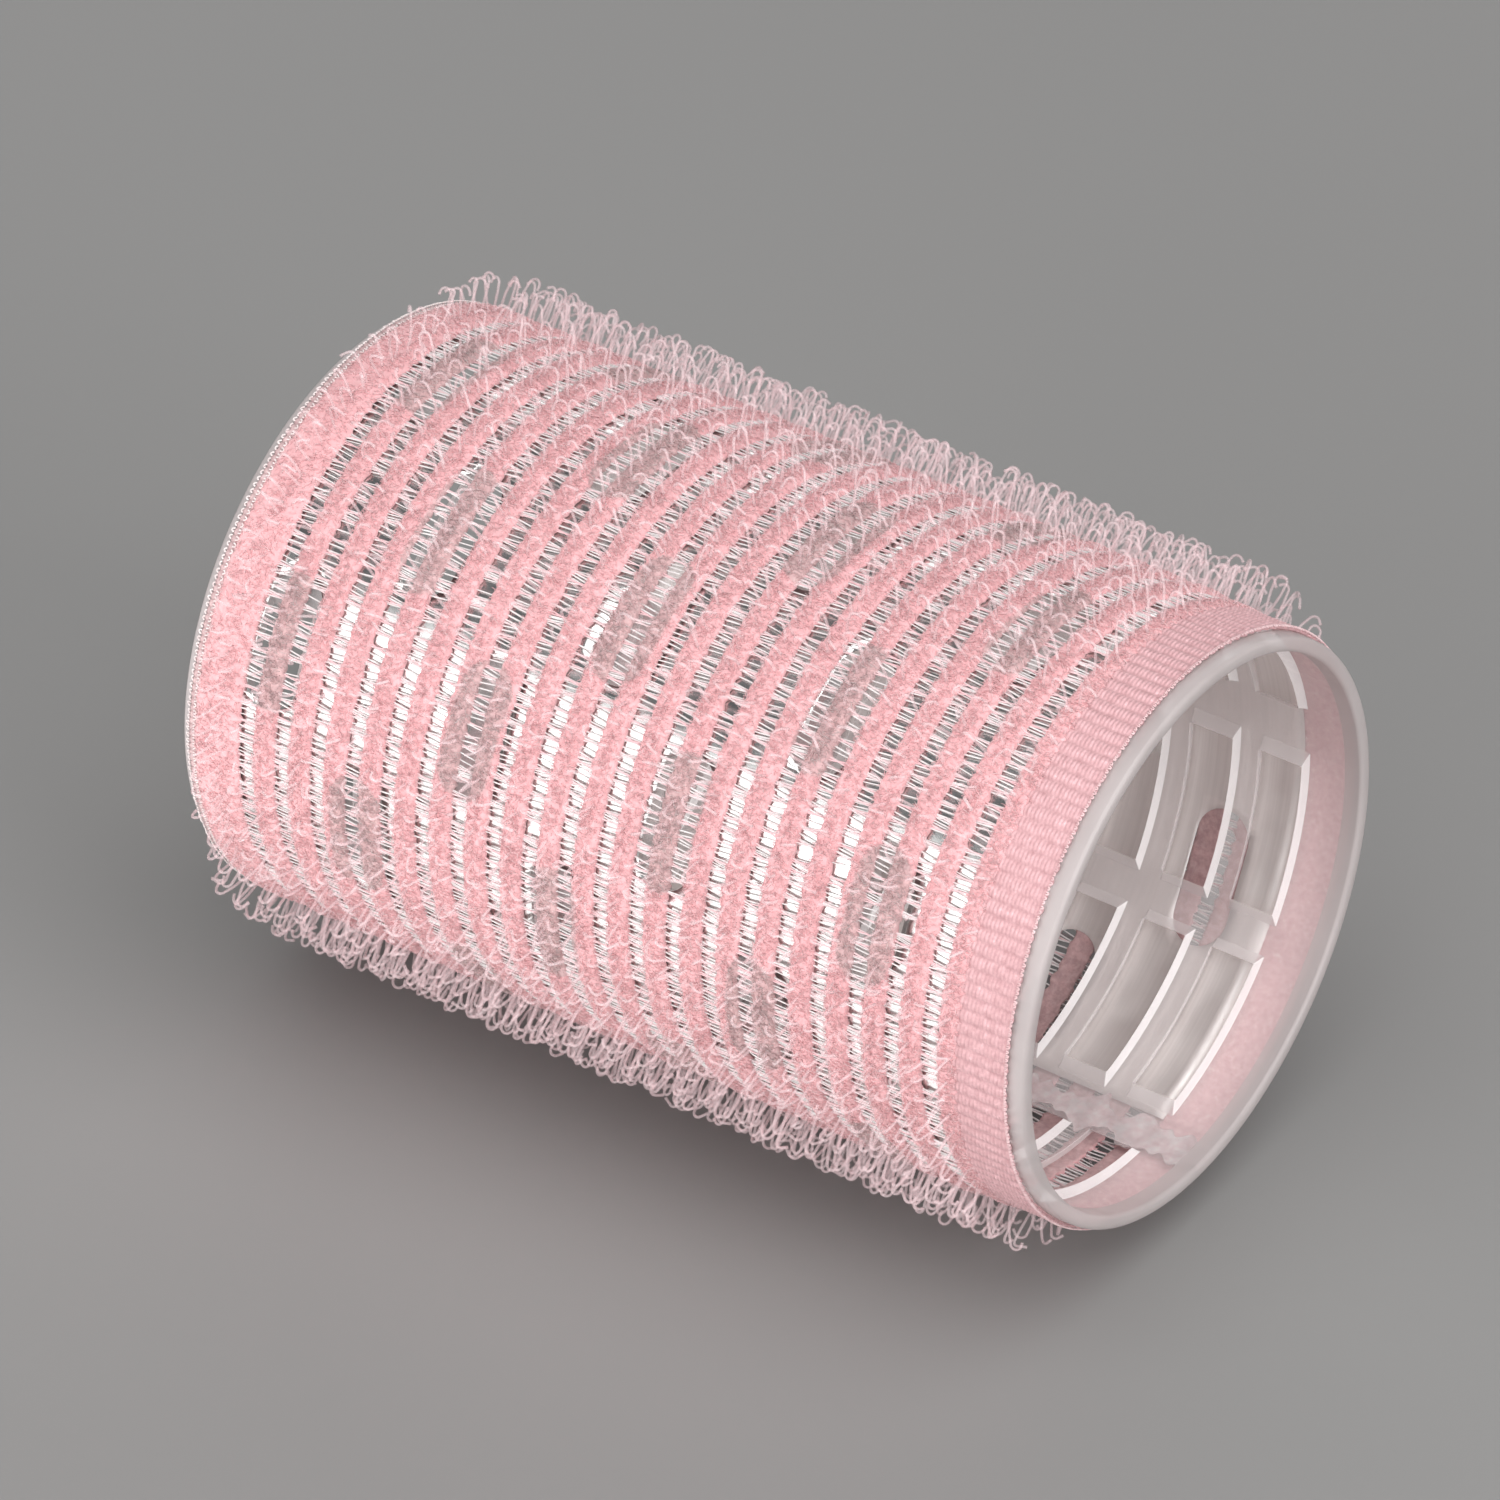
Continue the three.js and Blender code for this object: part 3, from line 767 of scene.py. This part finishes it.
def pile_strip(low, high, crown, crossings):
    """A strip of pile right round the roller, as a closed ring with a lumpy crown and wavy edges.

    crossings holds the places of the yarns that cross the gap on its rear and front side, or None."""
    columns = max(STRIPE_PROFILE, int((high - low) / PROFILE_STEP))
    angle = np.arange(STRIPE_STEPS) / STRIPE_STEPS * TURN
    u = np.linspace(-1, 1, columns)
    arc = angle * TAPE_RADIUS
    half, middle = (high - low) / 2, (high + low) / 2
    left = ripple(arc, 0 * arc, 0.75 * MM, 10) * EDGE_WAVE
    right = ripple(arc, 0 * arc, 0.75 * MM, 10) * EDGE_WAVE
    if crossings[0] is not None:
        left = left + crossing_bulge(arc, crossings[0])
    if crossings[1] is not None:
        right = right + crossing_bulge(arc, crossings[1])
    half_width = half + np.where(u < 0, left[:, None], right[:, None]) * np.abs(u)
    x = middle + u * half_width
    lump = ripple(arc[:, None], x, 0.6 * MM, 22) * 0.009 * MM
    lump += ripple(arc[:, None], x, 0.3 * MM, 22) * 0.012 * MM
    shape = crown_shape(u)
    press = weld_press(angle)[:, None]
    height = (crown * shape + lump * shape) * (1 - PRESSED_SHARE * press) + 0.02 * MM
    base = TAPE_RADIUS + lap_lift(angle)[:, None]
    top = around(x, angle[:, None], base + height)
    under_u = np.linspace(0.86, -0.86, UNDER_COLUMNS)
    under_x = middle + under_u * half_width[:, :1]
    knots = ripple(arc[:, None], under_x, 0.5 * MM, 16) * 0.03 * MM
    under = around(under_x, angle[:, None], base - 0.05 * MM - np.abs(knots))
    ring_points = np.concatenate([top, under], 1)
    faces = [wrapped_grid(*ring_points.shape[:2])]
    # backing is 0 over the slots and on the underside; there the pile's colour takes painted shade.
    backing = np.concatenate([backing_at(x, angle[:, None]), np.zeros((STRIPE_STEPS, UNDER_COLUMNS))], 1)
    return ring_points.reshape(-1, 3), faces, backing.ravel()


def fuzz(low, high, density, crown):
    """Loose pile fibres that lie on a strip: short, bent, and most of them along the axis.

    It also gives each point's backing, which sets the pile's painted shade over the slots, and its fibre's
    tone, whose palest end is painted glints."""
    count = int(density * (high - low) / MM * TURN * TAPE_RADIUS / MM)
    angle = rng.uniform(0, TURN, count)
    u = rng.uniform(-0.98, 0.98, count)
    x = (low + high) / 2 + u * (high - low) / 2
    length = rng.uniform(*FIBRE_LENGTH, count) * MM
    heading = np.where(rng.random(count) < 0.6, rng.normal(0, 0.5, count), rng.uniform(0, math.pi, count))
    bend = rng.normal(0, 0.25, count)
    bow = 0.25 - FIBRE_STEPS**2
    along = length[:, None] * FIBRE_STEPS
    sideways = length[:, None] * bend[:, None] * bow * 2
    dx = along * np.cos(heading)[:, None] - sideways * np.sin(heading)[:, None]
    da = along * np.sin(heading)[:, None] + sideways * np.cos(heading)[:, None]
    height = crown * crown_shape(u) * (1 - PRESSED_SHARE * weld_press(angle))
    surface = TAPE_RADIUS + height + lap_lift(angle)
    arch = rng.uniform(*FIBRE_ARCH, count)[:, None] * bow * 4 * MM
    radius = surface[:, None] + arch + rng.uniform(*FIBRE_LIFT, count)[:, None] * MM
    paths = around(x[:, None] + dx, angle[:, None] + da / TAPE_RADIUS, radius)
    outward = around(0 * angle, angle, 1.0)
    thick = rng.uniform(*FIBRE_RADIUS, count)[:, None] * MM
    points, faces = tubes(paths, thick, 3, outward)
    each = len(points) // count
    # The tone picks each fibre's colour; the highest tones are painted glints.
    tone = rng.uniform(0.01, 1.0, count)
    return points, faces, np.repeat(backing_at(x, angle), each), np.repeat(tone, each)


def pile_pieces(gap_places):
    """Each stripe of pile with its loose fibres, the wide band at the rear and the narrow one in front."""
    strips = [("pile_band_rear", span("pile_band_rear"))] + list(zip(STRIPES, STRIPE_SPANS))
    strips.append(("pile_band_front", FRONT_PILE))
    edge_places = [None] + gap_places + [None]
    for i, (name, (low, high)) in enumerate(strips):
        share = FRONT_CROWN_SHARE if name == "pile_band_front" else CROWN_SHARE
        crown = (PILE_RADIUS - TAPE_RADIUS) * share
        density = FUZZ_DENSITY
        low, high = low - PILE_SPREAD, high + PILE_SPREAD
        if name == "pile_band_rear":
            low -= REAR_PILE_REACH
            density = REAR_FUZZ_DENSITY
        points, faces, backing = pile_strip(low, high, crown, edge_places[i : i + 2])
        loose_points, loose_faces, loose_backing, tone = fuzz(low, high, density, crown)
        points, faces = joined([(points, faces), (loose_points, loose_faces)])
        # backing sets where the pile takes painted shade.
        attributes = {
            "backing": np.concatenate([backing, loose_backing]),
            "fibre": np.concatenate([0 * backing, tone]),
        }
        piece = add_mesh(name.replace("pile", "fuzzy"), points, faces, PILE, attributes=attributes)
        finish_piece(piece, "pink_pile", *([name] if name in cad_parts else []))


def weft_piece(name, low, high, places):
    """The sheer weft across one gap between stripes: groups of fine parallel threads, parted where pile
    yarns cross over each other. places says where those are, as distances round the tape."""
    starts, ends, pinks = [], [], []
    for i, place in enumerate(places):
        following = places[i + 1] if i + 1 < len(places) else places[0] + TAPE_GIRTH
        low_edge, high_edge = place + CROSSING_CLEAR, following - CROSSING_CLEAR
        count = max(3, int((high_edge - low_edge) / (rng.uniform(*WEFT_PITCH) * MM)))
        offsets = np.linspace(low_edge, high_edge, count) + rng.normal(0, 0.03, count) * MM
        keep = rng.random(count) > WEFT_MISSING
        slant = (1 if i % 2 else -1) * rng.uniform(*WEFT_SLANT) * MM
        starts += list(offsets[keep] - slant)
        ends += list(offsets[keep] + slant + rng.normal(0, 0.04, keep.sum()) * MM)
        pinks += [0.0] * int(keep.sum())
        spread = rng.uniform(*CROSSING_SPREAD) * MM
        for way in (-1.0, 1.0):
            starts.append(place + way * spread + rng.normal(0, 0.02) * MM)
            ends.append(place - way * spread * rng.uniform(0.6, 1.2) + rng.normal(0, 0.03) * MM)
            pinks.append(rng.uniform(0.3, 1.0))
    starts, ends, pinks = np.array(starts), np.array(ends), np.array(pinks)
    t = np.linspace(0, 1, 5)
    x = low - WEFT_TUCK + t * (high - low + 2 * WEFT_TUCK)
    arc = starts[:, None] * (1 - t) + ends[:, None] * t
    count = len(starts)
    sag = 4 * t * (1 - t)
    lift = rng.uniform(*WEFT_SAG, count)[:, None] * MM * sag + rng.uniform(*WEFT_LIFT, count)[:, None] * MM
    lift += (pinks > 0)[:, None] * CROSSING_LIFT
    angle = arc / TAPE_RADIUS
    paths = around(np.broadcast_to(x, arc.shape), angle, TAPE_RADIUS + lift + lap_lift(angle))
    thick = rng.uniform(*WEFT_RADIUS, count)[:, None] * MM
    points, faces = tubes(paths, thick, 5, around(0 * starts, starts / TAPE_RADIUS, 1.0))
    tint = np.repeat(pinks, len(points) // count)
    return finish_piece(add_mesh(name, points, faces, WEFT, attributes={"pink": tint}), "hook_filament")


def weft_pieces(gap_places):
    """The weft of every gap, from the rear band to the front selvedge."""
    edges = [span("pile_band_rear")[1]]
    edges += [edge for pair in STRIPE_SPANS for edge in pair]
    edges.append(span("selvedge_front")[0])
    for i in range(0, len(edges), 2):
        weft_piece(f"weft_gap_{i // 2 + 1:02d}", edges[i], edges[i + 1], gap_places[i // 2])


def hook_paths(base_x, base_angle, lean):
    """Cane-shaped hooks: a leg that stands up from the tape and a tip that bends over.

    lean is 1 or -1, the way along the axis that a hook's tip points."""
    count = len(base_x)
    leg = rng.uniform(*HOOK_LEG, count)[:, None] * MM
    bend_radius = rng.uniform(*HOOK_BEND_RADIUS, count)[:, None] * MM
    bend = np.radians(rng.uniform(*HOOK_BEND, count))[:, None]
    tail = rng.uniform(*HOOK_TAIL, count)[:, None] * MM
    curl = bend_radius * bend
    tilt = np.radians(rng.normal(*HOOK_TILT, count))[:, None]
    sway = np.radians(rng.normal(*HOOK_SWAY, count))[:, None]
    length = np.concatenate([leg * LEG_STEPS, leg + curl * BEND_STEPS, leg + curl + tail * TAIL_STEPS], 1)
    turned = tilt + sway * np.clip(length / leg, 0, 1) ** 1.3 + bend * np.clip((length - leg) / curl, 0, 1)
    step = np.diff(length, axis=1, prepend=0)
    out = np.cumsum(np.sin(turned) * step, 1)
    up = np.cumsum(np.cos(turned) * step, 1)
    tallest = up.max(1, keepdims=True)
    limit = HOOK_TIP_RADIUS - TAPE_RADIUS - HOOK_PROUD
    up *= np.minimum(1.0, limit / tallest)
    heading = rng.normal(0, 0.42, count) + np.where(lean > 0, 0, math.pi)
    side_tilt = rng.normal(0, 0.16, count)[:, None]
    dx = out * np.cos(heading)[:, None]
    da = out * np.sin(heading)[:, None] + side_tilt * up
    radius = TAPE_RADIUS + HOOK_ROOT + up + lap_lift(base_angle)[:, None]
    paths = around(base_x[:, None] + dx, base_angle[:, None] + da / (TAPE_RADIUS + up), radius)
    normal = np.cross(
        around(0 * base_angle, base_angle, 1.0),
        np.stack([np.cos(heading), 0 * heading, 0 * heading], -1) + 1e-3,
    )
    return paths, unit(normal)


def hook_piece(name, centre):
    """One stripe's hooks. They lean to one side and the other in turn, and the weld line has none."""
    count = int(TAPE_GIRTH / HOOK_SPACING)
    angle = (np.arange(count) + rng.uniform(-0.35, 0.35, count)) / count * TURN
    lean = np.where(np.arange(count) % 2 == 0, 1, -1)
    x = centre + lean * HOOK_OFFSET + rng.normal(0, 0.1, count) * MM
    keep = weld_press(angle) < 0.2
    paths, normal = hook_paths(x[keep], angle[keep], lean[keep])
    taper = np.ones(HOOK_STEPS)
    taper[-1] = HOOK_TIP_SWELL
    points, faces = tubes(paths, HOOK_RADIUS * taper, 5, normal)
    return finish_piece(add_mesh(name, points, faces, HOOK), "hook_filament")


def hook_pieces():
    """A row of hooks on every stripe and both bands. Together they stand for all the CAD rows."""
    rows = [(low + high) / 2 for low, high in STRIPE_SPANS]
    rear_low, rear_high = span("pile_band_rear")
    rows = [rear_low + (rear_high - rear_low) * 0.62] + rows + [sum(FRONT_PILE) / 2]
    first = None
    for i, centre in enumerate(rows):
        piece = hook_piece(f"hooks_stripe_{i:02d}", centre)
        first = first or piece
    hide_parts(*HOOK_ROWS)


def woven_band(name, low, high, thickness, relief, pitches, grid, materials, slot, node):
    """A ribbed plain weave right round the roller, as a closed ring with the weave's real relief.

    pitches is the distance from pick to pick and from warp to warp, grid is the mesh's steps in each, and
    materials are those of the outside and of the underside."""
    picks = int(round(TAPE_GIRTH / pitches[0]))
    picks += picks % 2
    warps = max(2, int(round((high - low) / pitches[1])))
    steps = picks * grid[0]
    columns = warps * grid[1] + 1
    angle = np.arange(steps) / steps * TURN
    pick_phase = np.arange(steps) / grid[0]
    warp_phase = np.linspace(0, warps, columns)
    rib = np.abs(np.cos(math.pi * pick_phase))[:, None] ** 0.7
    stagger = 0.5 * np.mod(np.round(pick_phase), 2)[:, None]
    strand = np.abs(np.sin(math.pi * (warp_phase[None] + stagger))) ** 0.6
    weave = 0.5 * rib * strand + 0.5 * rib
    arc = angle * TAPE_RADIUS
    x = np.linspace(low, high, columns)[None] + 0 * angle[:, None]
    outer = np.linspace(-1, 1, columns)[None]
    scallop = 0.07 * MM * np.cos(TURN * pick_phase)[:, None]
    scallop = scallop + ripple(arc, 0 * arc, 1.2 * MM, 8)[:, None] * 0.02 * MM
    x = x + scallop * np.abs(outer) ** 8 * np.sign(outer)
    uneven = ripple(arc[:, None], x, 1.6 * MM, 14) * 0.004 * MM
    edge = np.sqrt(np.clip(1 - np.abs(outer) ** 26, 0, 1))
    press = weld_press(angle)[:, None]
    height = (thickness + relief * weave + uneven) * edge * (1 - 0.6 * press)
    base = TAPE_RADIUS + lap_lift(angle)[:, None]
    top = around(x, angle[:, None], base + height)
    under = around(np.array([high - 0.1 * MM, low + 0.1 * MM]), angle[:, None], base - 0.03 * MM)
    points = np.concatenate([top, under], 1)
    faces = [wrapped_grid(steps, points.shape[1])]
    ribs = np.concatenate([weave, np.full((steps, 2), 0.6)], 1)
    piece = add_mesh(name, points.reshape(-1, 3), faces, materials[0], attributes={"rib": ribs})
    piece.data.materials.append(materials[1])
    below = np.tile(np.arange(columns + 2) >= columns - 1, steps)
    piece.data.polygons.foreach_set("material_index", below.astype(np.int32))
    return finish_piece(piece, slot, node)


def edge_bights(name, rows, pitch, material, slot):
    """Loops of yarn along an edge, where the weft turns back. rows holds (place, reach of its loops)."""
    count = int(TAPE_GIRTH / pitch)
    middle = np.arange(count) / count * TURN + rng.normal(0, 0.001, count)
    t = np.linspace(0, math.pi, 6)
    parts = []
    for place, reach_x in rows:
        angle = middle[:, None] + (BIGHT_HALF_WIDTH * pitch * np.cos(t))[None] / TAPE_RADIUS
        x = place - reach_x * np.sin(t)[None] * rng.uniform(0.7, 1.3, count)[:, None]
        radius = TAPE_RADIUS + BIGHT_HEIGHT - np.abs(0.5 * reach_x) * np.sin(t)[None] + lap_lift(angle)
        paths = around(x, angle, radius)
        parts.append(tubes(paths, BIGHT_RADIUS, 5, around(0 * middle, middle, 1.0)))
    points, faces = joined(parts)
    piece = add_mesh(name, points, faces, material, attributes={"rib": np.ones(len(points))})
    return finish_piece(piece, slot)


# ---- weld ----


def weld_piece():
    """The remelted plastic along the lap: a lumpy, ragged ribbon between the barrel and the tape."""
    low, high = -HALF_LENGTH + 0.6 * MM, HALF_LENGTH - 0.2 * MM
    rows, columns = 520, 18
    x = np.linspace(low, high, rows)[:, None]
    middle, half = sum(WELD_ARC) / 2, (WELD_ARC[1] - WELD_ARC[0]) / 2
    across = np.linspace(-1, 1, columns)[None]
    ragged = 1 + 0.22 * ripple(x * 0, x, 2.2 * MM, 10) + 0.12 * ripple(x * 0, x, 0.8 * MM, 10)
    angle = middle + across * half * ragged
    arc = angle * TAPE_RADIUS
    lumps = ripple(arc, x, 1.5 * MM, 20) * 0.06 * MM + ripple(arc, x, 0.6 * MM, 20) * 0.05 * MM
    rounded = np.sqrt(np.clip(1 - np.abs(across) ** 4, 0, 1))
    top = BARREL_RADIUS + (0.26 * MM + lumps) * rounded
    bottom = BARREL_RADIUS + 0.02 * MM
    outer = around(x, angle, top)
    inner = around(x, angle, bottom)[:, ::-1]
    section = np.concatenate([outer, inner], 1)
    index = np.arange(2 * rows * columns).reshape(rows, 2 * columns)
    faces = [wrapped_grid(rows, 2 * columns, close_rows=False), index[:1, ::-1], index[-1:]]
    piece = add_mesh("weld_ribbon", section.reshape(-1, 3), faces, MELTED_PLASTIC)
    return finish_piece(piece, "melted_polypropylene", "weld_seam")


# ---- stage ----


def floor_material():
    """A plain pale board with a faint grain."""
    m = Nodes("pale_floor_board")
    ramp = m.ramp(m.noise(6.0, 2.0), "Fac", [(0.3, (0.24, 0.236, 0.232)), (0.7, (0.254, 0.25, 0.246))])
    m.link(ramp, "Color", m.shader, "Base Color")
    m.set(Roughness=0.75)
    m.bump(m.noise(900.0, 2.0), "Fac", 0.05, 0.05 * MM)
    return m.material


def stage():
    """The floor, a large square just under the lowest hooks."""
    half = 4.0
    corners = [(x * half, y * half, FLOOR_HEIGHT) for x, y in ((-1, -1), (1, -1), (1, 1), (-1, 1))]
    floor = add_mesh("floor", corners, [[(0, 1, 2, 3)]], floor_material())


def rectangle_lamp(name, size, watts):
    """A rectangular area light of this size in metres, not yet placed."""
    light = bpy.data.lights.new(name, "AREA")
    light.shape = "RECTANGLE"
    light.size, light.size_y = size
    light.energy = watts
    lamp = bpy.data.objects.new(name, light)
    bpy.context.scene.collection.objects.link(lamp)
    return lamp


def soft_light(name, azimuth, elevation, distance, size, watts):
    """A soft light that looks at the roller."""
    lamp = rectangle_lamp(name, size, watts)
    away = direction(azimuth, elevation)
    lamp.location = away * distance
    lamp.rotation_euler = away.to_track_quat("Z", "Y").to_euler()


def low_card():
    """A card of light on the floor in front of the roller, which the sleeve's lower half mirrors."""
    lamp = rectangle_lamp("low_card", (0.36, 0.56), 0.95)
    lamp.location = (-0.15, -0.31, FLOOR_HEIGHT + 0.4 * MM)
    lamp.rotation_euler = (math.pi, 0, 0)
    lamp.visible_camera = False


def lights():
    """Soft studio light: azimuth and elevation, distance and size in metres, and watts."""
    soft_light("front_softbox", -26, 14, 0.8, (0.8, 0.5), 3.2)
    soft_light("top_softbox", 52, 70, 1.0, (1.2, 0.9), 9.1)
    soft_light("right_fill", 80, 22, 0.8, (0.5, 0.4), 3.8)
    soft_light("rear_fill", 208, 24, 0.8, (0.6, 0.4), 1.3)
    soft_light("low_fill", 18, 12, 0.8, (0.8, 0.3), 1.5)
    low_card()
    world = bpy.data.worlds.new("studio")
    bpy.context.scene.world = world
    world.use_nodes = True
    background = world.node_tree.nodes["Background"]
    background.inputs["Color"].default_value = (0.95, 0.97, 1.0, 1)
    background.inputs["Strength"].default_value = 0.12


CAMERA_AZIMUTH = 34.84
CAMERA_ELEVATION = 36.37
CAMERA_DISTANCE = 757.6 * MM
CAMERA_AIM = Vector((-1.5, -0.6, 0.5)) * MM
CAMERA_LENS = 292.9


def camera():
    """A long lens that looks down at the open end and the near side."""
    back = direction(CAMERA_AZIMUTH, CAMERA_ELEVATION)
    data = bpy.data.cameras.new("view")
    data.lens = CAMERA_LENS
    data.sensor_width = 36.0
    data.clip_start = 0.01
    eye = bpy.data.objects.new("view", data)
    eye.location = CAMERA_AIM + back * CAMERA_DISTANCE
    eye.rotation_euler = back.to_track_quat("Z", "Y").to_euler()
    bpy.context.scene.collection.objects.link(eye)
    bpy.context.scene.camera = eye


# ---- scene ----

bpy.context.scene.view_settings.view_transform = "Standard"
bpy.context.scene.cycles.transparent_max_bounces = 40
camera()
lights()
stage()
barrel_piece()
sleeve_piece()
weld_piece()
woven_band(
    "front_selvedge_weave", *FRONT_EDGE, thickness=0.06 * MM, relief=0.19 * MM,
    pitches=(0.88 * MM, 0.28 * MM), grid=(9, 4), materials=(WEAVE, WEAVE_UNDER_PAINTED_BACKLIGHT),
    slot="pink_weave", node="selvedge_front",
)
woven_band(
    "rear_selvedge_weave", *REAR_EDGE, thickness=0.1 * MM, relief=0.08 * MM,
    pitches=(0.47 * MM, 0.44 * MM), grid=(6, 5), materials=(EDGE_WEAVE, EDGE_WEAVE),
    slot="edge_weave", node="selvedge_rear",
)
rear_rows = [(REAR_EDGE[0] + 0.12 * MM, 0.2 * MM), (REAR_EDGE[1] - 0.5 * MM, -0.16 * MM)]
edge_bights("rear_edge_bights", rear_rows, 0.44 * MM, EDGE_BIGHT, "edge_weave")
front_rows = [(FRONT_EDGE[1] - 0.05 * MM, -0.14 * MM)]
edge_bights("front_edge_bights", front_rows, 0.3 * MM, WEAVE_BIGHT, "pink_weave")
gap_places = [crossing_places() for _ in range(len(STRIPES) + 1)]
pile_pieces(gap_places)
weft_pieces(gap_places)
hook_pieces()
